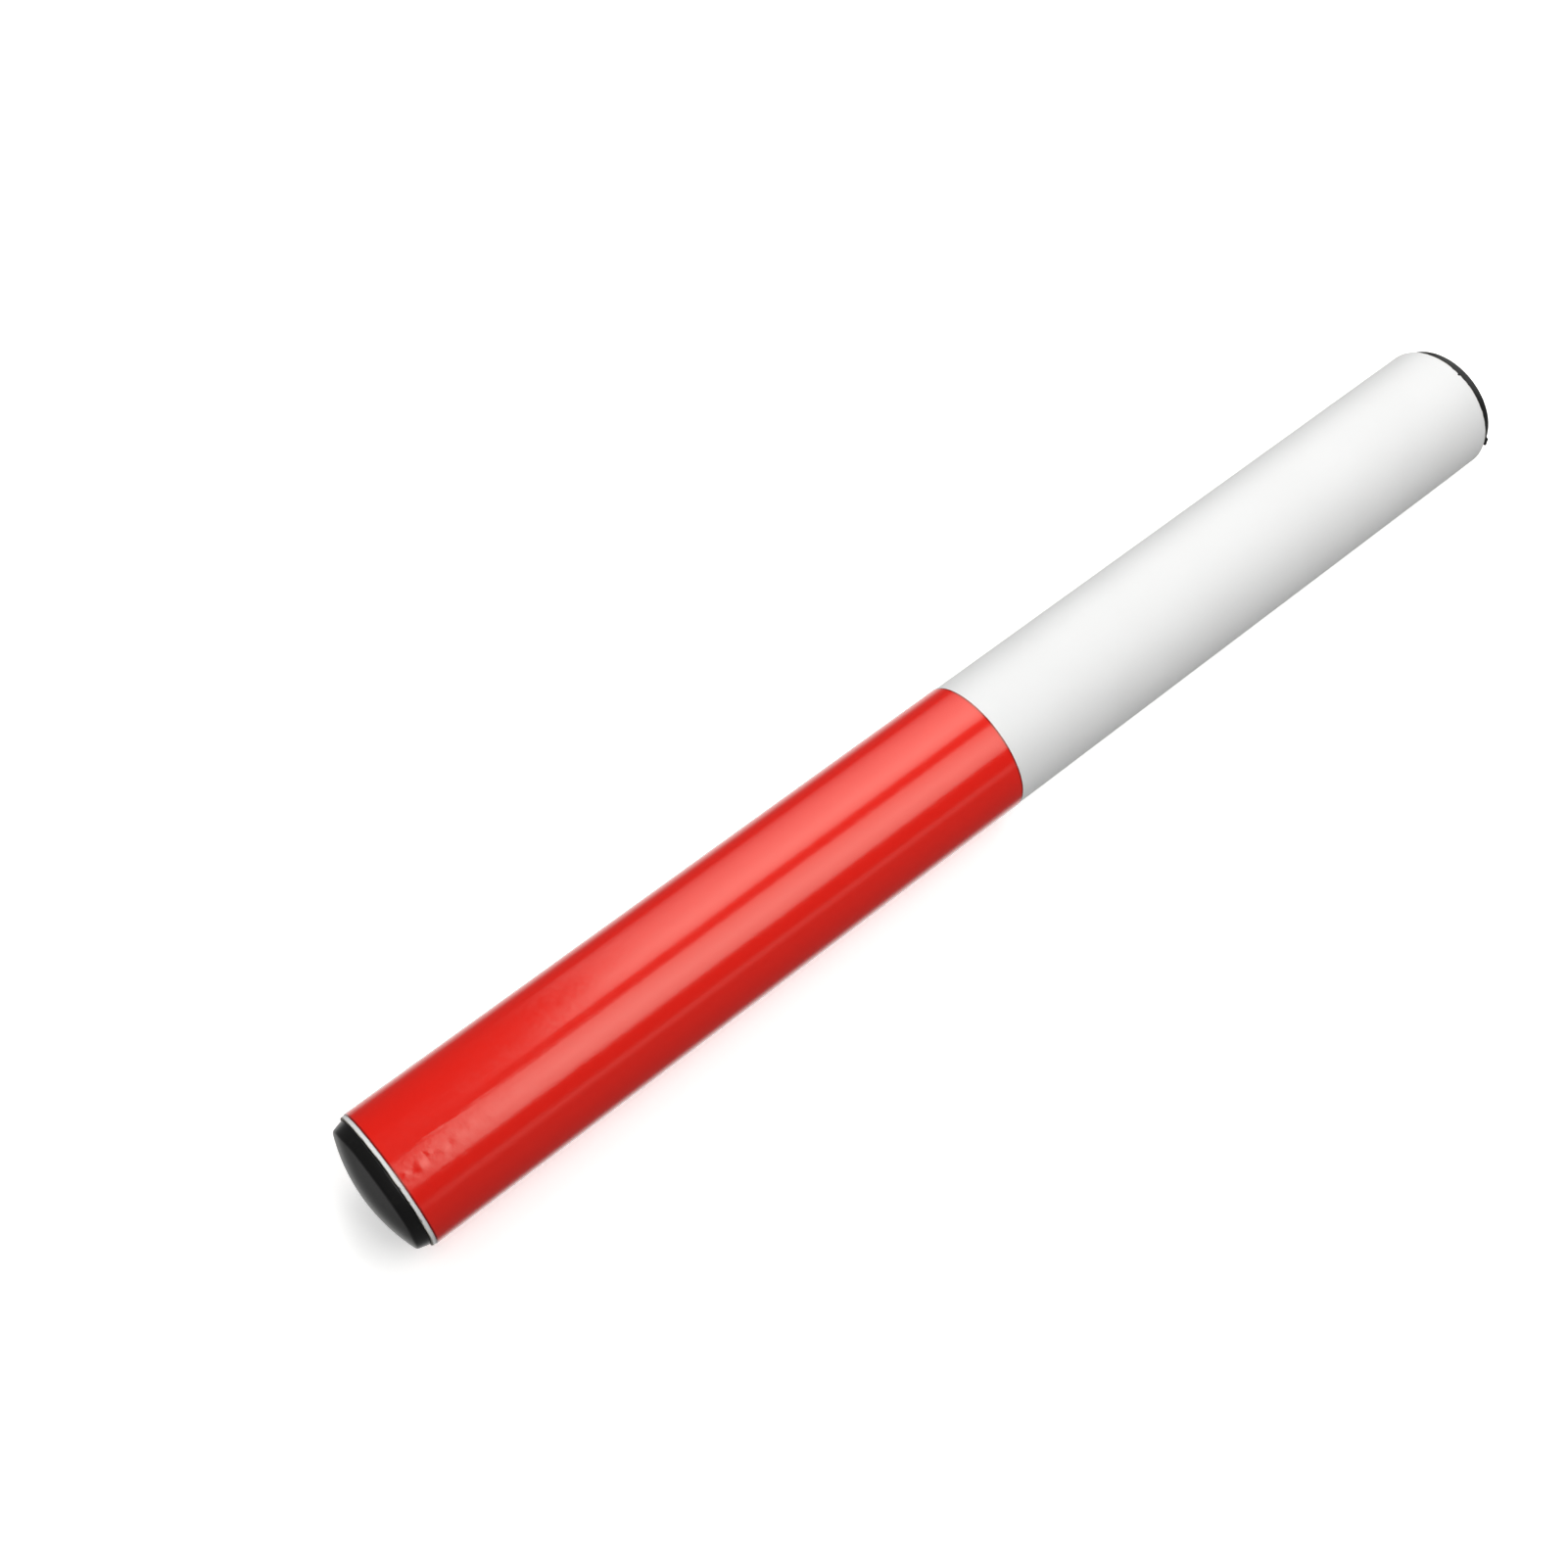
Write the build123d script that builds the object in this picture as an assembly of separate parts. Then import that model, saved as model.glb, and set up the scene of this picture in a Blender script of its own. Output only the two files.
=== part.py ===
from build123d import *
import math
import os

# A straight juggling stick: a rigid white pipe, a glossy red film wrapped round its
# handle half, and a black push-in plug closing each end.
#
# The stick lies along X with its middle at the origin. The handle end is at -X and
# the tip end is at +X. All sizes are in millimetres.

# ---------------------------------------------------------------- driving sizes

# pipe
tube_length = 316.0
tube_outside_diameter = 32.0
tube_wall = 1.8
tube_edge_break = 0.15  # burr scraped off the four sawn corners

# film round the handle half
film_width = 160.0  # along the stick
film_thickness = 0.15
film_setback = 1.0  # bare pipe left at the handle end
film_lap_width = 7.0  # second layer over the first, round the pipe
film_lap_ramp = 1.5  # round the pipe, where the film climbs over its own first edge
film_lap_end_angle = -42.0  # where the cut edge lies, from +Y towards +Z

# plug: the part that shows
head_inset = 0.55  # head is this much smaller in radius than the pipe
head_side_height = 2.75
head_side_taper = 0.75  # loss of radius from the pipe to the crest
head_crest_round = 0.9
head_dome_rise = 2.75
head_wall = 1.6
head_rim_break = 0.2

# plug: the part inside the pipe
skirt_depth = 14.0
skirt_wall = 1.4
fin_count = 4
fin_reach = 1.1  # how far a fin stands out from the skirt
fin_root_thickness = 1.3
fin_tip_thickness = 0.6
fin_first_offset = 1.6  # from the head's seat to the first fin
fin_clearance = 0.05  # between a fin and the bore, per side

# ---------------------------------------------------------------- worked-out sizes

tube_radius = tube_outside_diameter / 2
bore_radius = tube_radius - tube_wall
tube_end = tube_length / 2

film_start = -tube_end + film_setback
film_radius = tube_radius + film_thickness
lap_radius = film_radius + film_thickness

head_base_radius = tube_radius - head_inset
head_crest_radius = head_base_radius - head_side_taper
dome_radius = (head_crest_radius**2 + head_dome_rise**2) / (2 * head_dome_rise)
dome_centre = head_side_height + head_dome_rise - dome_radius

fin_radius = bore_radius - fin_clearance
skirt_radius = fin_radius - fin_reach
cavity_radius = skirt_radius - skirt_wall
cavity_dome_radius = dome_radius - head_wall
fin_pitch = (skirt_depth - fin_first_offset) / fin_count


# ---------------------------------------------------------------- pipe and film


def make_tube():
    """The pipe: sawn square at both ends, open right through."""
    pipe = Cylinder(tube_radius, tube_length) - Cylinder(bore_radius, tube_length)
    rims = pipe.edges().filter_by(GeomType.CIRCLE)
    pipe = chamfer(rims, tube_edge_break)
    return Rotation(0, 90, 0) * pipe


def on_section(radius, angle):
    """A point of the film's cross-section, its angle in degrees from +Y towards +Z."""
    turn = math.radians(angle)
    return (radius * math.cos(turn), radius * math.sin(turn))


def arc_on_section(radius, start, end):
    """An arc about the pipe's axis."""
    middle = (start + end) / 2
    return ThreePointArc(
        on_section(radius, start), on_section(radius, middle), on_section(radius, end)
    )


def make_film():
    """One sheet wrapped a full turn, with its last strip lapped over its first edge."""
    degrees_per_mm = 180 / (math.pi * tube_radius)
    cut_edge = film_lap_end_angle
    lap_start = cut_edge - film_lap_width * degrees_per_mm
    ramp_start = lap_start - film_lap_ramp * degrees_per_mm

    single_layer = arc_on_section(film_radius, cut_edge, ramp_start + 360)
    ramp = Line(on_section(film_radius, ramp_start), on_section(lap_radius, lap_start))
    second_layer = arc_on_section(lap_radius, lap_start, cut_edge)
    step = Line(on_section(lap_radius, cut_edge), on_section(film_radius, cut_edge))

    outline = make_face(Curve() + [single_layer, ramp, second_layer, step])
    section = outline - Circle(tube_radius)
    return extrude(Plane.YZ.offset(film_start) * section, film_width)


# ---------------------------------------------------------------- plug


def make_head():
    """The solid head: a tapered side, a rounded crest and a shallow dome."""
    dome_top = (head_side_height + head_dome_rise, 0)
    half_way = head_crest_radius / 2
    dome_half_way = (dome_centre + math.sqrt(dome_radius**2 - half_way**2), half_way)
    crest = (head_side_height, head_crest_radius)

    seat_and_side = Polyline((0, 0), (0, head_base_radius), crest)
    dome = ThreePointArc(crest, dome_half_way, dome_top)
    axis_line = Line(dome_top, (0, 0))
    profile = make_face(Curve() + [seat_and_side, dome, axis_line])

    crest_corner = profile.vertices().sort_by_distance(crest)[0]
    profile = fillet(crest_corner, head_crest_round)
    rim_corner = profile.vertices().sort_by_distance((0, head_base_radius))[0]
    profile = chamfer(rim_corner, head_rim_break)
    return revolve(profile, Axis.X)


def make_fin(offset):
    """One barb: square towards the head, sloped on the side that goes in first."""
    profile = Polyline(
        (-offset, cavity_radius),
        (-offset, fin_radius),
        (-offset - fin_tip_thickness, fin_radius),
        (-offset - fin_root_thickness, skirt_radius),
        (-offset - fin_root_thickness, cavity_radius),
        (-offset, cavity_radius),
    )
    return revolve(make_face(profile), Axis.X)


def make_cavity():
    """The hollow behind the head, open at the inner end, with a domed roof."""
    roof_edge = dome_centre + math.sqrt(cavity_dome_radius**2 - cavity_radius**2)
    roof_top = dome_centre + cavity_dome_radius
    half_way = cavity_radius / 2
    roof_half_way = dome_centre + math.sqrt(cavity_dome_radius**2 - half_way**2)

    walls = Polyline(
        (roof_top, 0),
        (-skirt_depth, 0),
        (-skirt_depth, cavity_radius),
        (roof_edge, cavity_radius),
    )
    roof = ThreePointArc((roof_edge, cavity_radius), (roof_half_way, half_way), (roof_top, 0))
    return revolve(make_face(Curve() + [walls, roof]), Axis.X)


def make_plug():
    """A plug with its seat at x = 0, its dome towards +X and its skirt towards -X."""
    skirt = Rotation(0, 90, 0) * Cylinder(skirt_radius, skirt_depth)
    skirt = Pos(-skirt_depth / 2, 0, 0) * skirt
    lead_in = skirt.edges().filter_by(GeomType.CIRCLE).sort_by(Axis.X)[0]
    skirt = chamfer(lead_in, skirt_wall / 2)

    plug = make_head() + skirt
    for number in range(fin_count):
        plug += make_fin(fin_first_offset + number * fin_pitch)
    return plug - make_cavity()


# ---------------------------------------------------------------- assembly

plug = make_plug()
pieces = {
    "tube": make_tube(),
    "grip_film": make_film(),
    "handle_plug": Pos(-tube_end, 0, 0) * Rotation(0, 0, 180) * plug,
    "tip_plug": Pos(tube_end, 0, 0) * plug,
}

os.makedirs("parts", exist_ok=True)
for name, piece in pieces.items():
    export_step(piece, f"parts/{name}.step")
    print(name, f"{piece.volume:.0f} mm3")
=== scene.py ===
# %% [markdown]
# # A straight juggling stick
#
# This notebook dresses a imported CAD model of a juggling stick: a white plastic pipe, a glossy
# red film wrapped round its handle half, and a black push-in plug at each end. The CAD model
# already has the right sizes and joints. What it lacks is everything that a hand and an eye
# notice: a sawn edge that is not quite clean, air trapped under the film, a soft moulded
# sheen. Each piece is therefore modelled again, on the CAD sizes, and given a material
# named for what it is.

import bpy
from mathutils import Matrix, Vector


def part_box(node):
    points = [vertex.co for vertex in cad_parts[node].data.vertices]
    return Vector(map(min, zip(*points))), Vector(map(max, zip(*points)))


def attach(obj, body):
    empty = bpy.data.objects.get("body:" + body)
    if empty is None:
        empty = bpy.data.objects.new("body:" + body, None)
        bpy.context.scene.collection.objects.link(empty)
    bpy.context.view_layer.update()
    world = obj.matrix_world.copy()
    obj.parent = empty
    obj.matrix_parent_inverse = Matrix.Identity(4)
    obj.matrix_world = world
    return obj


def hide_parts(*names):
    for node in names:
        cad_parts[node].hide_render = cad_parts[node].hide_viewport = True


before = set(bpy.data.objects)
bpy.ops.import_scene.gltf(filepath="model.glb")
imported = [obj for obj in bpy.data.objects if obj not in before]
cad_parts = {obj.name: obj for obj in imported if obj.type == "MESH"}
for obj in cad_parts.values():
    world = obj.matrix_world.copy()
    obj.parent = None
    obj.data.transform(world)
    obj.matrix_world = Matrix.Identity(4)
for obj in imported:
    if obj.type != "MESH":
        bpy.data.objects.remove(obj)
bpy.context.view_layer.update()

# %% [markdown]
# ## Sizes
#
# The scene is in metres, and a stick is easier to think about in millimetres, so one
# constant turns one into the other. The pipe's and the film's lengths are read from the CAD
# model's boxes. The stick lies along X with its handle end at -X, so "along" is X, and the
# rest is a distance or an angle round the axis. Angles are counted from +Y up over the top.

# %% Read the sizes from the frame
import math

import bmesh
import bpy
from mathutils import Matrix, Vector, noise

MM = 0.001

tube_low, tube_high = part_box("tube")
film_low, film_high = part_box("grip_film")
plug_low, plug_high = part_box("tip_plug")

tube_end = tube_high.x
tube_radius = 16.0 * MM
film_thickness = 0.15 * MM
film_radius = tube_radius + film_thickness
film_width = film_high.x - film_low.x
print(f"pipe {2 * tube_end / MM:.1f} mm long, {2 * tube_radius / MM:.1f} mm across")
print(f"the frame's pipe is {(tube_high.z - tube_low.z) / MM:.1f} mm across")
print(f"film {film_width / MM:.1f} mm wide on a radius of {film_radius / MM:.2f} mm")

# %% [markdown]
# ## The camera
#
# The camera comes first, because everything else is judged through it. It looks down on the
# stick from above the handle end, so the stick runs away from the viewer and gets narrower
# towards the tip. A lens of about 50 mm gives the same narrowing as the eye sees at that
# distance. A direction and a distance are easier to adjust than a position, so the position
# is worked out from them.

# %% Place the camera
view_turn = math.radians(-39.714)
view_height = math.radians(59.740)
view_distance = 486.35 * MM
looks_at = Vector((-36.16, 20.33, 0)) * MM

towards_camera = Vector(
    (
        math.sin(view_turn) * math.cos(view_height),
        -math.cos(view_turn) * math.cos(view_height),
        math.sin(view_height),
    )
)
camera_data = bpy.data.cameras.new("camera")
camera_data.lens = 49.707
camera_data.sensor_width = 36
camera = bpy.data.objects.new("camera", camera_data)
camera.location = looks_at + view_distance * towards_camera
camera.rotation_euler = (-towards_camera).to_track_quat("-Z", "Y").to_euler()
bpy.context.scene.collection.objects.link(camera)
bpy.context.scene.camera = camera
print("camera at", [round(c / MM) for c in camera.location], "mm")

# %% [markdown]
# ## One helper for nodes
#
# Lights, the world and materials are all built from nodes. One function adds a node, sets it
# up and links it, which keeps the recipes below short enough to read.

# %% A helper that adds a node
def add_node(tree, kind, inputs=None, **settings):
    """Adds a node. Each input is a plain value, or another node's output to link from."""
    node = tree.nodes.new(kind)
    for name, value in settings.items():
        setattr(node, name, value)
    for name, value in (inputs or {}).items():
        if isinstance(value, bpy.types.NodeSocket):
            tree.links.new(value, node.inputs[name])
        else:
            node.inputs[name].default_value = value
    return node


# %% [markdown]
# ## Softboxes
#
# A glossy round stick shows its lights as long bands. Where a band lies depends only on the
# light's direction round the stick, so each softbox is placed by the angle of its two long
# edges, counted from +Y up over the top. Two boxes with a narrow gap between them give two
# pale bands with a thin deep-red line between, and that line is what makes the film read as
# glossy. The boxes start a little short of the handle end, so the bands fade out there.
# A third lamp is only a dim strip, almost level with the stick on the viewer's side. It
# adds one faint line below the bands.
#
# A real softbox is brightest in front of its lamp. A lamp's shader knows where on the lamp
# a ray leaves it (Parametric), so the strength can fall off to either side of a hot line.

# %% Hang the softboxes
light_distance = 0.80
WARM_WHITE = (1.0, 0.99, 0.98)
PLAIN_WHITE = (1.0, 1.0, 1.0)


def softbox(name, angles, ends, radiance, hot, fall, colour):
    """A lamp facing the axis, with its long edges at two angles and its ends along X.

    It is brightest at "hot", a share of the way across it, and loses "fall" of that at the
    edge further off.
    """
    turn = math.radians(sum(angles) / 2)
    spread = math.radians(angles[1] - angles[0])
    outward = Vector((0, math.cos(turn), math.sin(turn)))
    along = Vector((1, 0, 0))

    data = bpy.data.lights.new(name, "AREA")
    data.shape = "RECTANGLE"
    data.size = ends[1] - ends[0]
    data.size_y = 2 * light_distance * math.tan(spread / 2)
    data.energy = radiance * math.pi * data.size * data.size_y
    data.color = colour

    data.use_nodes = True
    tree = data.node_tree
    where = add_node(tree, "ShaderNodeNewGeometry").outputs["Parametric"]
    across = add_node(tree, "ShaderNodeSeparateXYZ", {"Vector": where}).outputs["Y"]
    off_hot = add_node(tree, "ShaderNodeMath", {0: across, 1: hot}, operation="SUBTRACT")
    off_hot = add_node(tree, "ShaderNodeMath", {0: off_hot.outputs[0]}, operation="ABSOLUTE")
    strength = add_node(
        tree,
        "ShaderNodeMapRange",
        {
            "Value": off_hot.outputs[0],
            "From Max": max(hot, 1 - hot),
            "To Min": 1.0,
            "To Max": 1.0 - fall,
        },
    )
    tree.links.new(strength.outputs["Result"], tree.nodes["Emission"].inputs["Strength"])

    light = bpy.data.objects.new(name, data)
    facing = Matrix((along, outward.cross(along), outward)).transposed().to_4x4()
    light.matrix_world = Matrix.Translation(outward * light_distance) @ facing
    light.location.x = sum(ends) / 2
    bpy.context.scene.collection.objects.link(light)
    print(f"{name}: {data.size:.2f} x {data.size_y:.2f} m")
    return light


softbox("softbox_front", (97, 143), (-0.075, 0.42), 4.2, 0.45, 0.45, WARM_WHITE)
softbox("softbox_back", (4, 81), (0.06, 0.48), 4.1, 0.25, 0.93, WARM_WHITE)
softbox("strip_low", (169, 178), (-0.10, 0.60), 0.5, 0.5, 0.0, PLAIN_WHITE)

# %% [markdown]
# The two boxes alone would leave the shading too steep, so two wide, weak lamps fill in, one
# from overhead and one from low at the front. They are only stand-ins for light off the
# ceiling and the walls, so they are hidden from reflections: seen in the gloss, they would
# close the gap between the two bands.

# %% Hang the fill lights
overhead = softbox("overhead_fill", (50, 120), (-0.65, 0.45), 0.80, 0.5, 0.0, PLAIN_WHITE)
low_fill = softbox("low_fill", (172, 225), (-0.20, 0.60), 0.75, 0.5, 0.0, (1.0, 0.995, 0.99))
overhead.visible_glossy = False
low_fill.visible_glossy = False

# %% [markdown]
# ## World and colour
#
# The rest of the studio is a dim room, and behind the stick, where the viewer looks, there
# is a pale ground. The world is both: how far a direction turns away from the viewing
# direction says whether it is room or ground. The ground is what the stick's outline
# reflects, because there the surface is seen so flat that it turns almost into a mirror.
# The Standard view transform keeps a saturated red as saturated as its paint chip, where a
# film-like transform would wash it out.
#
# A black plug shows only what it reflects, so a pale card stands beyond each end. The one
# beyond the tip is for the side of the far plug. The one beyond the handle reaches down low,
# where the near dome looks, and it lights the round at the dome's edge.

# %% Set the world
room_strength = 0.14
ground_strength = 1.15
ground_to = math.radians(20)  # all ground, up to here from the viewing direction
room_from = math.radians(46)  # all room, from here on

world = bpy.data.worlds.new("studio")
world.use_nodes = True
tree = world.node_tree
direction = add_node(tree, "ShaderNodeTexCoord").outputs["Generated"]
ahead = add_node(
    tree, "ShaderNodeVectorMath", {0: direction, 1: -towards_camera}, operation="DOT_PRODUCT"
)
brightness = add_node(
    tree,
    "ShaderNodeMapRange",
    {
        "Value": ahead.outputs["Value"],
        "From Min": math.cos(room_from),
        "From Max": math.cos(ground_to),
        "To Min": room_strength,
        "To Max": ground_strength,
    },
    interpolation_type="SMOOTHSTEP",
)
tree.links.new(brightness.outputs["Result"], tree.nodes["Background"].inputs["Strength"])
tree.nodes["Background"].inputs["Color"].default_value = (1.0, 0.995, 0.985, 1)
bpy.context.scene.world = world
bpy.context.scene.view_settings.view_transform = "Standard"

# side, distance from the middle, its middle (Y, Z), height and width in metres, radiance
CARDS = [
    ("tip_card", 1, 1.4, (0.25, 0.40), (0.90, 1.40), 0.75),
    ("handle_card", -1, 1.3, (0.25, -0.62), (1.55, 1.50), 0.30),
]
for name, side, distance, middle, (height, width), radiance in CARDS:
    data = bpy.data.lights.new(name, "AREA")
    data.shape = "RECTANGLE"
    data.size = height
    data.size_y = width
    data.energy = radiance * math.pi * height * width
    card = bpy.data.objects.new(name, data)
    card.location = (side * distance, *middle)
    card.rotation_euler = (0, side * math.pi / 2, 0)
    bpy.context.scene.collection.objects.link(card)
    print(f"{name} stands {distance} m away")

# %% [markdown]
# ## Helpers for materials
#
# A colour is given as an sRGB value, but a shader wants linear light, so one function
# converts a hex code. Another starts a material off, and a third turns the size of a feature
# in millimetres into the scale that a noise wants.

# %% Material helpers
def linear(code):
    """An sRGB hex code such as "#c8140f" as linear red, green, blue and alpha."""
    shares = [int(code[i : i + 2], 16) / 255 for i in (1, 3, 5)]
    curve = [s / 12.92 if s <= 0.04045 else ((s + 0.055) / 1.055) ** 2.4 for s in shares]
    return (*curve, 1.0)


def new_material(name):
    """An empty node material. Returns it with its node tree and its shader."""
    material = bpy.data.materials.new(name)
    material.use_nodes = True
    return material, material.node_tree, material.node_tree.nodes["Principled BSDF"]


def per(feature_mm):
    """The noise scale that gives features of about this many millimetres."""
    return 1 / (feature_mm * MM)


# a colour Mix node keeps its two colours on its seventh and eighth inputs
FIRST_COLOUR, SECOND_COLOUR = 6, 7
MIXED_COLOUR = 2

# %% [markdown]
# ## Rigid PVC, extruded
#
# The pipe is rigid PVC squeezed through a round die. The die leaves it satin rather than
# shiny, with very fine lines along its length. The eye gets a clean, even white whose
# shading rolls softly round the pipe, with no mirror-like highlight. The sawn ends are
# rougher and hold a little dust. The lines are noise stretched along X, and the sawn end is
# picked out by its distance from the stick's middle.

# %% Make the PVC material
pvc, tree, shader = new_material("rigid_pvc_extruded")
place = add_node(tree, "ShaderNodeTexCoord").outputs["Object"]

die_line_size = (per(60), per(0.7), per(0.7))  # 60 mm long, 0.7 mm apart
stretched = add_node(tree, "ShaderNodeMapping", {"Vector": place, "Scale": die_line_size})
die_lines = add_node(
    tree,
    "ShaderNodeTexNoise",
    {"Vector": stretched.outputs["Vector"], "Scale": 1.0, "Detail": 3.0},
).outputs["Fac"]
cloud = add_node(
    tree, "ShaderNodeTexNoise", {"Vector": place, "Scale": per(18), "Detail": 2.0}
).outputs["Fac"]
grain = add_node(
    tree, "ShaderNodeTexNoise", {"Vector": place, "Scale": per(0.35), "Detail": 2.0}
).outputs["Fac"]

along = add_node(tree, "ShaderNodeSeparateXYZ", {"Vector": place}).outputs["X"]
from_middle = add_node(tree, "ShaderNodeMath", {0: along}, operation="ABSOLUTE").outputs[0]
sawn = add_node(
    tree,
    "ShaderNodeMapRange",
    {"Value": from_middle, "From Min": tube_end - 0.35 * MM, "From Max": tube_end - 0.10 * MM},
).outputs["Result"]

body_white = add_node(tree, "ShaderNodeMix", {"Factor": cloud}, data_type="RGBA")
body_white.inputs[FIRST_COLOUR].default_value = linear("#dfe0e0")
body_white.inputs[SECOND_COLOUR].default_value = linear("#e4e5e5")
pvc_colour = add_node(tree, "ShaderNodeMix", {"Factor": sawn}, data_type="RGBA")
tree.links.new(body_white.outputs[MIXED_COLOUR], pvc_colour.inputs[FIRST_COLOUR])
pvc_colour.inputs[SECOND_COLOUR].default_value = linear("#c9c5bc")
tree.links.new(pvc_colour.outputs[MIXED_COLOUR], shader.inputs["Base Color"])

satin = add_node(
    tree,
    "ShaderNodeMapRange",
    {"Value": die_lines, "From Min": 0.3, "From Max": 0.7, "To Min": 0.50, "To Max": 0.60},
).outputs["Result"]
pvc_rough = add_node(tree, "ShaderNodeMath", {0: satin, 1: sawn}, operation="MAXIMUM")
tree.links.new(pvc_rough.outputs[0], shader.inputs["Roughness"])
shader.inputs["IOR"].default_value = 1.53

relief = add_node(tree, "ShaderNodeMath", {0: die_lines, 1: grain}, operation="ADD")
pvc_bump = add_node(
    tree,
    "ShaderNodeBump",
    {"Height": relief.outputs[0], "Strength": 0.25, "Distance": 0.004 * MM},
)
tree.links.new(pvc_bump.outputs["Normal"], shader.inputs["Normal"])
print(pvc.name, len(tree.nodes), "nodes")

# %% [markdown]
# ## Calendered vinyl film
#
# The handle is covered with self-adhesive vinyl, rolled between polished rollers
# (calendered), which gives a deep even red under a real gloss. Two things break that gloss.
# The adhesive below it is not level, so the highlight is faintly mottled, like orange peel.
# It was pulled tighter towards the handle end, and there the mottling is stronger. Along
# its two cut ends the colour is painted darker, a painted shade for the edge rounding down
# away from the light.

# %% Make the film material
vinyl, tree, shader = new_material("calendered_vinyl_film")
place = add_node(tree, "ShaderNodeTexCoord").outputs["Object"]
along = add_node(tree, "ShaderNodeSeparateXYZ", {"Vector": place}).outputs["X"]

film_middle = (film_low.x + film_high.x) / 2
off_middle = add_node(tree, "ShaderNodeMath", {0: along, 1: film_middle}, operation="SUBTRACT")
off_middle = add_node(tree, "ShaderNodeMath", {0: off_middle.outputs[0]}, operation="ABSOLUTE")
# painted shade: the red darkens over the last half millimetre before the film's two cut ends,
# where the edge rounds away from the light
painted_edge_shade = add_node(
    tree,
    "ShaderNodeMapRange",
    {
        "Value": off_middle.outputs[0],
        "From Min": film_width / 2 - 0.50 * MM,
        "From Max": film_width / 2 - 0.15 * MM,
    },
).outputs["Result"]
film_colour = add_node(tree, "ShaderNodeMix", {"Factor": painted_edge_shade}, data_type="RGBA")
film_colour.inputs[FIRST_COLOUR].default_value = linear("#e11a0f")
film_colour.inputs[SECOND_COLOUR].default_value = linear("#7a0d0b")
tree.links.new(film_colour.outputs[MIXED_COLOUR], shader.inputs["Base Color"])
shader.inputs["IOR"].default_value = 1.53
shader.inputs["Specular Tint"].default_value = (1.0, 0.97, 0.84, 1)  # a slightly warm gloss

orange_peel = add_node(
    tree,
    "ShaderNodeTexNoise",
    {"Vector": place, "Scale": per(1.1), "Detail": 4.0, "Roughness": 0.6},
).outputs["Fac"]
film_rough = add_node(
    tree,
    "ShaderNodeMapRange",
    {"Value": orange_peel, "From Min": 0.3, "From Max": 0.7, "To Min": 0.13, "To Max": 0.19},
).outputs["Result"]
tree.links.new(film_rough, shader.inputs["Roughness"])

# nothing of the stronger mottling is left 100 mm from the handle end
tightness = add_node(
    tree,
    "ShaderNodeMapRange",
    {
        "Value": along,
        "From Min": film_low.x,
        "From Max": film_low.x + 100 * MM,
        "To Min": 1.00,
        "To Max": 0.12,
    },
).outputs["Result"]
peel_bump = add_node(
    tree,
    "ShaderNodeBump",
    {"Height": orange_peel, "Strength": tightness, "Distance": 0.030 * MM},
)
stretch_line_size = (per(30), per(0.9), per(0.9))  # 30 mm long, 0.9 mm apart
stretched = add_node(tree, "ShaderNodeMapping", {"Vector": place, "Scale": stretch_line_size})
stretch_lines = add_node(
    tree,
    "ShaderNodeTexNoise",
    {"Vector": stretched.outputs["Vector"], "Scale": 1.0, "Detail": 2.0},
).outputs["Fac"]
line_bump = add_node(
    tree,
    "ShaderNodeBump",
    {
        "Height": stretch_lines,
        "Strength": tightness,
        "Distance": 0.012 * MM,
        "Normal": peel_bump.outputs["Normal"],
    },
)
tree.links.new(line_bump.outputs["Normal"], shader.inputs["Normal"])
print(vinyl.name, len(tree.nodes), "nodes")

# %% [markdown]
# ## Moulded polythene
#
# The plugs are black low-density polythene, injection moulded in a tool with a finely
# eroded surface. It is a soft, slightly waxy plastic with a wide dull sheen and a deep
# black below it. It marks easily, so there are faint paler scuffs where it has been handled
# and dropped. They are a broken noise, cut off high so that only its peaks are left.

# %% Make the plug material
polythene, tree, shader = new_material("moulded_polythene")
place = add_node(tree, "ShaderNodeTexCoord").outputs["Object"]

eroded = add_node(
    tree, "ShaderNodeTexNoise", {"Vector": place, "Scale": per(0.25), "Detail": 3.0}
).outputs["Fac"]
broken = add_node(
    tree,
    "ShaderNodeTexNoise",
    {"Vector": place, "Scale": per(2.2), "Detail": 6.0, "Roughness": 0.7},
).outputs["Fac"]
scuffs = add_node(
    tree, "ShaderNodeMapRange", {"Value": broken, "From Min": 0.58, "From Max": 0.72}
).outputs["Result"]

plug_colour = add_node(tree, "ShaderNodeMix", {"Factor": scuffs}, data_type="RGBA")
plug_colour.inputs[FIRST_COLOUR].default_value = linear("#090909")
plug_colour.inputs[SECOND_COLOUR].default_value = linear("#1a1a18")
tree.links.new(plug_colour.outputs[MIXED_COLOUR], shader.inputs["Base Color"])
plug_rough = add_node(
    tree,
    "ShaderNodeMapRange",
    {"Value": eroded, "From Min": 0.3, "From Max": 0.7, "To Min": 0.28, "To Max": 0.37},
).outputs["Result"]
tree.links.new(plug_rough, shader.inputs["Roughness"])
shader.inputs["IOR"].default_value = 1.51
plug_bump = add_node(
    tree, "ShaderNodeBump", {"Height": eroded, "Strength": 0.35, "Distance": 0.008 * MM}
)
tree.links.new(plug_bump.outputs["Normal"], shader.inputs["Normal"])
print(polythene.name, len(tree.nodes), "nodes")

# %% [markdown]
# ## Helpers for modelling
#
# Everything on this stick is round, so everything starts as half of a section: an outline
# drawn above the axis and spun about it. An outline is drawn by carrying on from its last
# point, and a round part of it is one point spun about the round's own centre. Spinning the
# finished outline a full turn closes on itself, so its first and last copies are merged.

# %% Drawing and spinning
ABOUT_STICK = (1, 0, 0)
ABOUT_SECTION = (0, -1, 0)  # turns a point from +X up towards +Z
merge_distance = 0.001 * MM
slice_tolerance = 0.0001 * MM


def draw_on(bm, vert, points):
    """Carries an outline on from a vertex, through points (along, radius)."""
    for along, radius in points:
        step = bm.verts.new((along, 0, radius))
        bm.edges.new((vert, step))
        vert = step
    return vert


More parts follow.
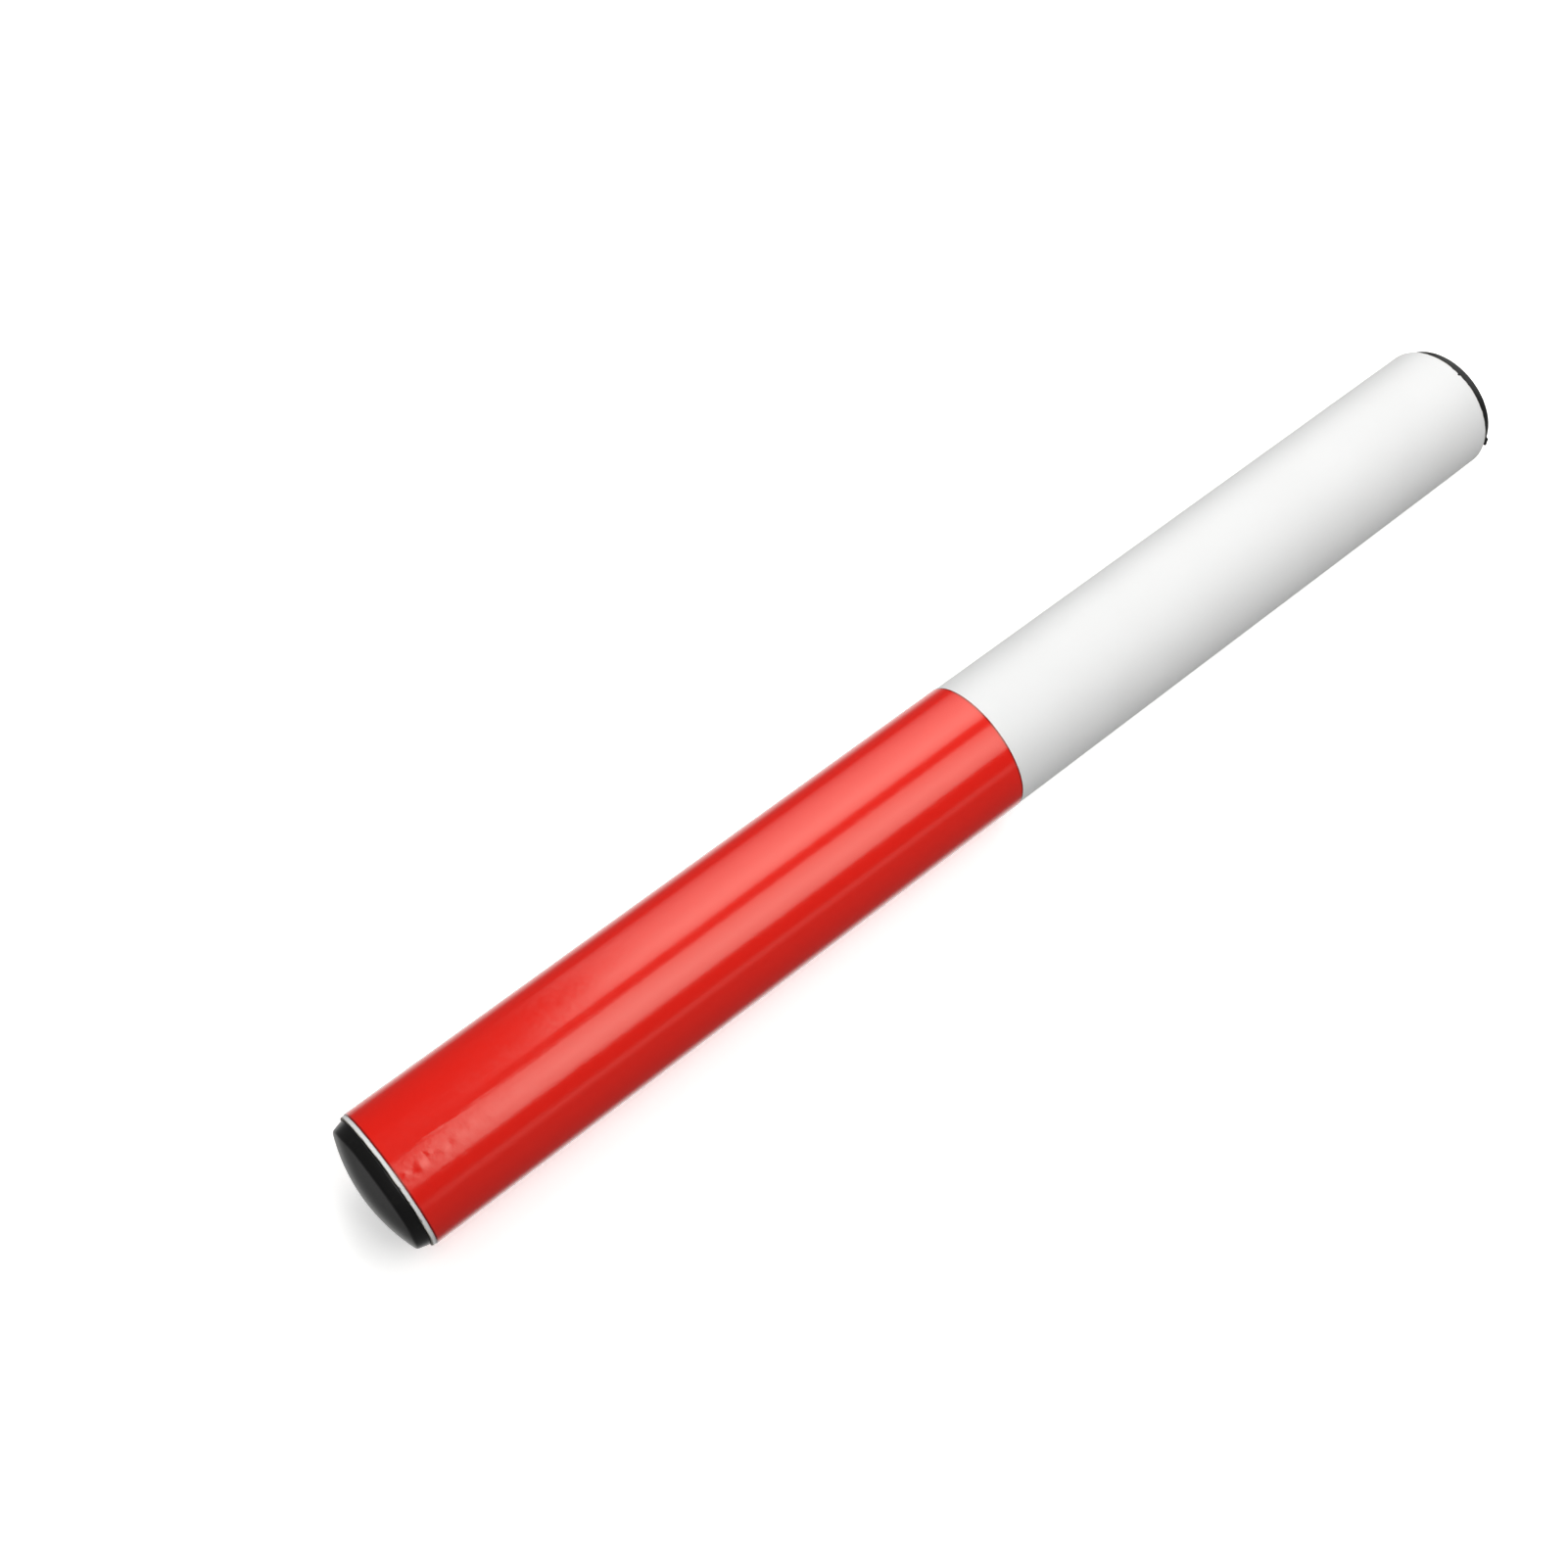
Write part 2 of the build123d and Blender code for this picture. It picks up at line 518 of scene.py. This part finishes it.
def spin_point(bm, vert, centre, angle, steps):
    """Sweeps one point of an outline about a centre on the axis. Returns the last point."""
    swept = bmesh.ops.spin(
        bm,
        geom=[vert],
        cent=(centre, 0, 0),
        axis=ABOUT_SECTION,
        angle=angle,
        steps=steps,
    )
    return next(g for g in swept["geom_last"] if isinstance(g, bmesh.types.BMVert))


def spin_outline(bm, steps):
    """Spins all that has been drawn a full turn about the stick's axis."""
    bmesh.ops.spin(
        bm,
        geom=bm.verts[:] + bm.edges[:],
        cent=(0, 0, 0),
        axis=ABOUT_STICK,
        angle=math.tau,
        steps=steps,
        use_merge=True,
    )
    clean(bm)


def clean(bm):
    """Merges doubles, then turns every face outwards."""
    bmesh.ops.remove_doubles(bm, verts=bm.verts, dist=merge_distance)
    bmesh.ops.recalc_face_normals(bm, faces=bm.faces)


# %% [markdown]
# A corner is never knife sharp. One helper finds the edges that turn by more than a given
# angle, and another rounds a set of edges. The last one turns a bmesh into a piece: it
# shades it smooth with its real corners kept, gives it its material, leaves its object at the
# origin under an empty for the body it rides on, and hides the CAD node it stands for.

# %% Rounding and finishing
kept_corner = 40  # degrees; where a surface turns by more than this, it is a real corner


def sharp_edges(bm, degrees):
    """The edges whose two faces turn by more than this."""
    return [edge for edge in bm.edges if edge.calc_face_angle(0) > math.radians(degrees)]


def round_edges(bm, edges, width, segments):
    """Rounds edges off, starting at this width from the corner."""
    bmesh.ops.bevel(
        bm,
        geom=edges,
        offset=width,
        offset_type="OFFSET",
        affect="EDGES",
        segments=segments,
        profile=0.5,
        material=-1,
        clamp_overlap=True,
    )


def at_angle(vert):
    """A vertex's angle round the stick in degrees, from 0 to 360."""
    return math.degrees(math.atan2(vert.co.z, vert.co.y)) % 360


def finish_piece(name, bm, material, body, node):
    """Makes the bmesh a piece of the stick, in place of a CAD node."""
    clean(bm)
    for face in bm.faces:
        face.smooth = True
    for edge in sharp_edges(bm, kept_corner):
        edge.smooth = False
    mesh = bpy.data.meshes.new(name)
    bm.to_mesh(mesh)
    bm.free()
    mesh.materials.append(material)
    piece = bpy.data.objects.new(name, mesh)
    bpy.context.scene.collection.objects.link(piece)
    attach(piece, body)
    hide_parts(node)
    triangles = sum(len(face.vertices) - 2 for face in mesh.polygons)
    print(f"{name}: {len(mesh.vertices)} vertices, {triangles} triangles")
    return piece


# %% [markdown]
# ## The pipe
#
# A pipe's section is a plain rectangle, and spinning it gives the whole pipe. Its character
# is in its ends. They were sawn and only scraped clean, so the four corners are broken by a
# small round. Rings are then cut close to each end by slicing the pipe with planes, to give
# the next step something to move.

# %% Spin the pipe and cut rings near its ends
tube_wall = 1.8 * MM
bore_radius = tube_radius - tube_wall
edge_break = 0.15 * MM
edge_segments = 2
ring_depths = (0.25, 0.40, 0.60)  # mm from the end
pipe_steps = 360

bm = bmesh.new()
corner = bm.verts.new((-tube_end, 0, tube_radius))
last = draw_on(
    bm, corner, [(tube_end, tube_radius), (tube_end, bore_radius), (-tube_end, bore_radius)]
)
bm.edges.new((last, corner))
spin_outline(bm, pipe_steps)
round_edges(bm, sharp_edges(bm, kept_corner), edge_break, edge_segments)

for side in (-1, 1):
    for depth in ring_depths:
        bmesh.ops.bisect_plane(
            bm,
            geom=bm.verts[:] + bm.edges[:] + bm.faces[:],
            plane_co=(side * (tube_end - depth * MM), 0, 0),
            plane_no=ABOUT_STICK,
            dist=slice_tolerance,
        )
print("pipe rings:", len({round(v.co.x / MM, 2) for v in bm.verts}))

# %% [markdown]
# A hand saw wanders. The end face is in by up to a sixth of a millimetre here and there,
# and where a tooth caught, the edge has a small bite out of it. Each ring is moved in by
# what noise says for its place round the pipe, less for each ring further from the end. The
# bites are deepest at the outside of the wall, where the tooth came through.

# %% Roughen the sawn ends
saw_wander = 0.17 * MM
saw_reach = 0.60 * MM
long_wave = 2.6  # mm, as the blade drifts
short_wave = 0.8  # mm, as single teeth catch
# end, degrees round, half width mm, depth mm
BITES = [
    (1, 100.5, 0.45, 0.55),
    (1, 93.0, 0.35, 0.12),
    (1, 128.0, 0.60, 0.10),
    (-1, 121.0, 0.70, 0.16),
    (-1, 134.0, 0.50, 0.20),
    (-1, 152.5, 0.45, 0.26),
    (-1, 262.0, 0.60, 0.22),
    (1, 305.0, 0.50, 0.24),
]


def bump(distance):
    """One at the centre, falling smoothly to nothing at a distance of one."""
    return (1 - distance**2) ** 2 if distance < 1 else 0.0


for vert in bm.verts:
    inset = tube_end - abs(vert.co.x)
    if inset >= saw_reach:
        continue
    side = 1 if vert.co.x > 0 else -1
    ring = Vector((side, vert.co.y / MM, vert.co.z / MM))
    wander = 0.5 + 0.5 * noise.noise(ring / long_wave) + 0.6 * noise.noise(ring / short_wave)
    cut = saw_wander * min(1, max(0, wander))
    outer = (vert.co.yz.length - bore_radius) / tube_wall
    for end, degrees, half_width, depth in BITES:
        away = abs((at_angle(vert) - degrees + 180) % 360 - 180)
        arc_mm = math.radians(away) * tube_radius / MM
        cut += (side == end) * depth * MM * bump(arc_mm / half_width) * max(0, outer)
    vert.co.x -= side * cut * (1 - inset / saw_reach)

finish_piece("white_pipe", bm, pvc, "stick", "tube")

# %% [markdown]
# ## The film
#
# Vinyl film starts as a flat sheet with a lap allowance, so that is how it is made here: a
# grid as wide as the film and as long as once round the pipe plus the lap. The grid is
# then rolled round the pipe. Past a full turn the sheet climbs by its own thickness and lies
# on its first edge, which is the lap seam. The film has trapped some air near the handle
# end, on top, so the grid's lines are drawn together there.

# %% Lay out the sheet
lap_width = 7.0 * MM
lap_ramp = 1.5 * MM
lap_end_angle = -42.0

once_round = math.tau * tube_radius
sheet_length = once_round + lap_width
first_edge_angle = math.radians(lap_end_angle) - lap_width / tube_radius
cells_along = 190
cells_round = 232
tight_along = 0.30  # cell length at the handle end, as a share of the average
tight_round = 0.45  # cell width half way round the sheet, likewise

bm = bmesh.new()
bmesh.ops.create_grid(bm, x_segments=cells_along, y_segments=cells_round, size=0.5)
print(f"sheet {film_width / MM:.0f} x {sheet_length / MM:.1f} mm, {len(bm.faces)} cells")

# %% [markdown]
# ## Trapped air and creases
#
# The film was pressed on by hand, working towards the handle end, and the last few
# centimetres show it: a row of small blisters, pinched creases across them, and a few long
# creases where the film was stretched unevenly. Each is a small smooth bump or ridge,
# described by where it is, how long and wide it is, and how high. They are real shapes in
# the mesh, because a highlight running over them has to bend.

# %% Describe the blisters and creases
# along mm, angle in degrees, half length mm, half width mm, height mm
BLISTERS = [
    (-152.1, 117.0, 1.7, 1.5, 0.070),
    (-155.4, 115.2, 1.1, 0.8, 0.045),
    (-146.6, 117.0, 2.0, 1.4, 0.032),
    (-143.0, 116.0, 2.2, 1.1, 0.034),
    (-149.3, 113.0, 0.9, 0.8, 0.030),
    (-139.6, 113.5, 2.0, 1.4, 0.026),
    (-134.5, 118.0, 2.6, 1.2, 0.022),
    (-128.9, 113.5, 2.2, 1.6, 0.022),
    (-121.0, 118.5, 3.0, 1.5, 0.018),
    (-137.7, 91.0, 0.5, 0.5, 0.050),
    (-133.6, 150.0, 0.5, 0.5, 0.030),
    (-140.2, 24.0, 2.6, 1.4, 0.050),
    (-151.0, 196.0, 1.7, 1.3, 0.045),
    (-60.0, 255.0, 2.4, 1.6, 0.035),
]
# from (along mm, degrees) to (along mm, degrees), half width mm, height mm
CREASES = [
    ((-150.2, 110.0), (-149.9, 121.0), 0.45, -0.055),
    ((-145.3, 114.5), (-145.0, 121.5), 0.50, -0.040),
    ((-150.5, 100.5), (-138.0, 105.5), 0.50, 0.032),
    ((-148.5, 103.0), (-136.0, 107.5), 0.45, -0.026),
    ((-155.5, 107.5), (-146.0, 110.0), 0.50, 0.024),
    ((-142.0, 100.5), (-130.0, 103.0), 0.50, 0.016),
    ((-156.0, 20.0), (-143.0, 26.0), 0.55, 0.030),
]
degree_mm = math.radians(1) * tube_radius / MM  # how much of the surface one degree takes


def lift(along, angle):
    """How far, in mm, the film stands off at a place given in mm and degrees."""
    height = 0.0
    for centre, turn, half_length, half_width, rise in BLISTERS:
        off_round = (angle - turn) * degree_mm / half_width
        height += rise * bump(math.hypot((along - centre) / half_length, off_round))
    for (start, start_turn), (end, end_turn), half_width, rise in CREASES:
        run = Vector((end - start, (end_turn - start_turn) * degree_mm))
        here = Vector((along - start, (angle - start_turn) * degree_mm))
        share = min(1, max(0, here.dot(run) / run.length_squared))
        fade = 1 - abs(2 * share - 1) ** 3
        height += rise * fade * bump((here - run * share).length / half_width)
    return height


print(len(BLISTERS), "blisters and", len(CREASES), "creases")

# %% [markdown]
# Rolling is one short loop. A vertex's place along the sheet sets its X. Its place across
# the sheet sets its angle, and whether a layer is already under it. The lap lies over the
# sheet's first stretch, so bumps are looked up at the angle and again one turn back, and a
# bump placed under the lap would lift both layers. A little slow noise stands for the
# uneven adhesive. Where the film dips below the pipe it is stopped by it. The sheet then
# gets its thickness, which also closes its four cut edges.

# %% Roll the sheet round the pipe
adhesive_wave = 0.014 * MM
adhesive_wavelength_mm = 5.0


def drawn_together(share, tightest, tight):
    """Moves a share from 0 to 1 so that its steps are small around the tightest place."""
    off = (share - tightest) / max(tightest, 1 - tightest)
    eased = tight * off + (1 - tight) * off * abs(off)
    return tightest + eased * max(tightest, 1 - tightest)


for vert in bm.verts:
    share_along = drawn_together(vert.co.x + 0.5, 0.0, tight_along)
    share_round = drawn_together(vert.co.y + 0.5, 0.5, tight_round)
    along = film_low.x + film_width * share_along
    run = sheet_length * share_round
    angle = first_edge_angle + run / tube_radius
    climb = min(1, max(0, (run - once_round + lap_ramp) / lap_ramp))
    spot = Vector((along, tube_radius * math.cos(angle), tube_radius * math.sin(angle)))
    wave = adhesive_wave * (0.5 + 0.5 * noise.noise(spot * per(adhesive_wavelength_mm)))
    turn = math.degrees(angle)
    raised = lift(along / MM, turn) + lift(along / MM, turn - 360)
    radius = tube_radius + climb * film_thickness + max(0, raised * MM + wave)
    vert.co = (along, radius * math.cos(angle), radius * math.sin(angle))

bmesh.ops.recalc_face_normals(bm, faces=bm.faces)
radii = [v.co.yz.length / MM for v in bm.verts]
facing_out = sum(f.normal.dot(Vector((0, *f.calc_center_median().yz))) > 0 for f in bm.faces)
print(f"rolled sheet from {min(radii):.3f} to {max(radii):.3f} mm, facing out:", facing_out)
bmesh.ops.solidify(bm, geom=bm.faces[:], thickness=-film_thickness)
radii = [v.co.yz.length / MM for v in bm.verts]
print(f"with thickness from {min(radii):.3f} to {max(radii):.3f} mm")
finish_piece("red_film", bm, vinyl, "stick", "grip_film")

# %% [markdown]
# ## The plugs
#
# A push-in plug is one moulding, and one spun outline gives all of it: the domed head, the
# tapered side, the seat that stops on the sawn end, and the hollow skirt with its four
# barbed fins. A fin is square towards the head and sloped on the side that goes in first,
# so it slides in and then bites. The sizes are the CAD model's.

# %% Work out the plug's sizes
head_inset = 0.55 * MM
head_side_height = 2.75 * MM
head_side_taper = 0.75 * MM
head_crest_round = 0.9 * MM
head_wall = 1.6 * MM
head_rim_break = 0.2 * MM
skirt_wall = 1.4 * MM
fin_count = 4
fin_reach = 1.1 * MM
fin_root = 1.3 * MM
fin_tip = 0.6 * MM
fin_first = 1.6 * MM
fin_clearance = 0.05 * MM

dome_top = plug_high.x - tube_end
skirt_depth = tube_end - plug_low.x
dome_rise = dome_top - head_side_height
base_radius = tube_radius - head_inset
crest_radius = base_radius - head_side_taper
dome_radius = (crest_radius**2 + dome_rise**2) / (2 * dome_rise)
dome_centre = dome_top - dome_radius
fin_radius = bore_radius - fin_clearance
skirt_radius = fin_radius - fin_reach
cavity_radius = skirt_radius - skirt_wall
roof_radius = dome_radius - head_wall
fin_pitch = (skirt_depth - fin_first) / fin_count
print(f"dome {dome_rise / MM:.2f} mm high on a radius of {dome_radius / MM:.1f} mm")

# %% [markdown]
# The outline starts at the middle of the dome and ends at the middle of the cavity's roof.
# Both of those are arcs about the same centre. The side, seat and fins between them are
# straight runs, drawn in one loop for the fins because they repeat.

# %% Draw the plug's outline
dome_steps = 16
roof_steps = 12


def draw_plug(bm):
    """Half the plug's section, its seat at zero and its dome towards +X."""
    dome_half_angle = math.asin(crest_radius / dome_radius)
    roof_half_angle = math.asin(cavity_radius / roof_radius)

    vert = bm.verts.new((dome_top, 0, 0))
    vert = spin_point(bm, vert, dome_centre, dome_half_angle, dome_steps)
    lean = head_side_taper / head_side_height
    rim = [
        (head_rim_break, base_radius - lean * head_rim_break),
        (0, base_radius - head_rim_break),
    ]
    vert = draw_on(bm, vert, rim + [(0, skirt_radius)])
    for number in range(fin_count):
        root = -fin_first - number * fin_pitch
        fin = [
            (root, skirt_radius),
            (root, fin_radius),
            (root - fin_tip, fin_radius),
            (root - fin_root, skirt_radius),
        ]
        vert = draw_on(bm, vert, fin)
    lead_in = [
        (skirt_wall / 2 - skirt_depth, skirt_radius),
        (-skirt_depth, skirt_radius - skirt_wall / 2),
    ]
    roof_edge = dome_centre + roof_radius * math.cos(roof_half_angle)
    inside = [(-skirt_depth, cavity_radius), (roof_edge, cavity_radius)]
    vert = draw_on(bm, vert, lead_in + inside)
    spin_point(bm, vert, dome_centre, -roof_half_angle, roof_steps)


# %% [markdown]
# A moulding is filled through a small gate, and when it is snapped off it leaves a torn
# stub. Here the gate is on the head's side. Two slices across the head give a band the
# gate's width, the faces at the gate's angle are extruded outwards, and the new face is
# shrunk so that the stub tapers as a torn one does.

# %% Raise the gate stub
gate_near = 0.25 * MM
gate_far = 1.45 * MM
gate_height = 0.90 * MM
gate_half_width = 1.0 * MM
torn_taper = 0.7  # the stub's end, as a share of its root
torn_depth_mm = 0.25
torn_grain_mm = 0.5


def raise_gate(bm, degrees):
    """Pulls a stub out of the head's side at this angle round the stick."""
    for along in (gate_near, gate_far):
        bmesh.ops.bisect_plane(
            bm,
            geom=bm.verts[:] + bm.edges[:] + bm.faces[:],
            plane_co=(along, 0, 0),
            plane_no=ABOUT_STICK,
            dist=slice_tolerance,
        )
    middle = (gate_near + gate_far) / 2
    chosen = []
    for face in bm.faces:
        centre = face.calc_center_median()
        away = abs((math.degrees(math.atan2(centre.z, centre.y)) - degrees + 180) % 360 - 180)
        on_side = centre.yz.length > crest_radius and abs(centre.x - middle) < gate_far - middle
        if on_side and math.radians(away) * base_radius < gate_half_width:
            chosen.append(face)
    pulled = bmesh.ops.extrude_face_region(bm, geom=chosen)["geom"]
    bmesh.ops.delete(bm, geom=chosen, context="FACES_ONLY")
    verts = [g for g in pulled if isinstance(g, bmesh.types.BMVert)]
    turn = math.radians(degrees)
    outward = Vector((0, math.cos(turn), math.sin(turn)))
    centre = sum((v.co for v in verts), Vector()) / len(verts)
    taper = (torn_taper, torn_taper, torn_taper)
    bmesh.ops.scale(bm, verts=verts, vec=taper, space=Matrix.Translation(-centre))
    bmesh.ops.translate(bm, verts=verts, vec=outward * gate_height)
    for vert in verts:
        vert.co += outward * torn_depth_mm * MM * noise.noise(vert.co * per(torn_grain_mm))
    print("gate stub raised from", len(chosen), "faces")


# %% [markdown]
# The crest is the big round between side and dome. A round of a given radius starts at that
# radius times the tangent of half the turn away from the corner, so the bevel's width is
# worked out from the turn. Every other corner is only broken by a tenth of a millimetre,
# which is what lets the fins and the rim catch a thin line of light. The handle end takes
# the same plug, turned about the upright axis.

# %% Model the two plugs
side_slope = math.atan(head_side_taper / head_side_height)
crest_turn = math.pi / 2 - side_slope - math.asin(crest_radius / dome_radius)
crest_width = head_crest_round * math.tan(crest_turn / 2)
crest_segments = 6
crest_tolerance = 0.01 * MM
corner_break = 0.10 * MM
broken_corner = 35  # degrees; the plug's corners that turn by more are broken
plug_steps = 192

for name, body, side, gate in (
    ("tip_end_plug", "tip_plug", 1, 174.0),
    ("handle_end_plug", "handle_plug", -1, 210.0),
):
    bm = bmesh.new()
    draw_plug(bm)
    spin_outline(bm, plug_steps)
    crest = [
        edge
        for edge in bm.edges
        if all(abs(v.co.x - head_side_height) < crest_tolerance for v in edge.verts)
        and all(abs(v.co.yz.length - crest_radius) < crest_tolerance for v in edge.verts)
    ]
    print(f"{name}: {len(crest)} crest edges, turn {math.degrees(crest_turn):.1f} degrees")
    round_edges(bm, crest, crest_width, crest_segments)
    round_edges(bm, sharp_edges(bm, broken_corner), corner_break, edge_segments)
    raise_gate(bm, gate)
    if side < 0:
        half_turn = Matrix.Rotation(math.pi, 3, "Z")
        bmesh.ops.rotate(bm, verts=bm.verts, cent=(0, 0, 0), matrix=half_turn)
    bmesh.ops.translate(bm, verts=bm.verts, vec=(side * tube_end, 0, 0))
    finish_piece(name, bm, polythene, body, body)

# %% [markdown]
# ## The floor and backdrop
#
# The stick lies on plain pale studio paper. It rests on its film, which is the lowest thing
# on it, so that is where the floor is. Far out, the paper sweeps up all round into a
# backdrop, so there is no horizon from any side. It is lit from behind as well, as on a
# shooting table, and more so further out, which keeps it pale in the corners. It neither
# shows in the stick's gloss nor throws light back up at it, so the stick is lit as if it
# were held up in the air, and its underside stays dark enough to look round.

# %% Mix the paper
glow_starts = 0.3  # metres from the middle, like the next one
glow_full = 1.5
paper, tree, shader = new_material("studio_paper")
place = add_node(tree, "ShaderNodeTexCoord").outputs["Object"]
tooth = add_node(
    tree, "ShaderNodeTexNoise", {"Vector": place, "Scale": per(0.8), "Detail": 3.0}
).outputs["Fac"]
paper_colour = add_node(tree, "ShaderNodeMix", {"Factor": tooth}, data_type="RGBA")
paper_colour.inputs[FIRST_COLOUR].default_value = linear("#f4f4f3")
paper_colour.inputs[SECOND_COLOUR].default_value = linear("#f7f7f6")
tree.links.new(paper_colour.outputs[MIXED_COLOUR], shader.inputs["Base Color"])
shader.inputs["Roughness"].default_value = 0.9
shader.inputs["Specular IOR Level"].default_value = 0.2
shader.inputs["Emission Color"].default_value = (1, 1, 1, 1)
far_out = add_node(tree, "ShaderNodeVectorMath", {0: place}, operation="LENGTH").outputs["Value"]
glow = add_node(
    tree,
    "ShaderNodeMapRange",
    {
        "Value": far_out,
        "From Min": glow_starts,
        "From Max": glow_full,
        "To Min": 0.45,
        "To Max": 0.88,
    },
)
tree.links.new(glow.outputs["Result"], shader.inputs["Emission Strength"])

# %% Spin the floor and its backdrop
floor_reach = 3.0  # metres, like the next two
sweep_radius = 1.5
wall_height = 3.0
sweep_steps = 24
floor_steps = 96

bm = bmesh.new()
middle = bm.verts.new((0, 0, 0))
foot = draw_on(bm, middle, [(floor_reach, 0)])
swept = bmesh.ops.spin(
    bm,
    geom=[foot],
    cent=(floor_reach, 0, sweep_radius),
    axis=ABOUT_SECTION,
    angle=math.pi / 2,
    steps=sweep_steps,
)
head = next(g for g in swept["geom_last"] if isinstance(g, bmesh.types.BMVert))
draw_on(bm, head, [(floor_reach + sweep_radius, wall_height)])
bmesh.ops.spin(
    bm,
    geom=bm.verts[:] + bm.edges[:],
    cent=(0, 0, 0),
    axis=(0, 0, 1),
    angle=math.tau,
    steps=floor_steps,
    use_merge=True,
)
clean(bm)
for face in bm.faces:
    face.smooth = True
bmesh.ops.translate(bm, verts=bm.verts, vec=(0, 0, -film_radius))
print("floor and backdrop:", len(bm.faces), "faces")
floor_mesh = bpy.data.meshes.new("floor")
bm.to_mesh(floor_mesh)
bm.free()
floor_mesh.materials.append(paper)
floor = bpy.data.objects.new("floor", floor_mesh)
floor.visible_glossy = False
floor.visible_diffuse = False
floor.visible_shadow = False
bpy.context.scene.collection.objects.link(floor)
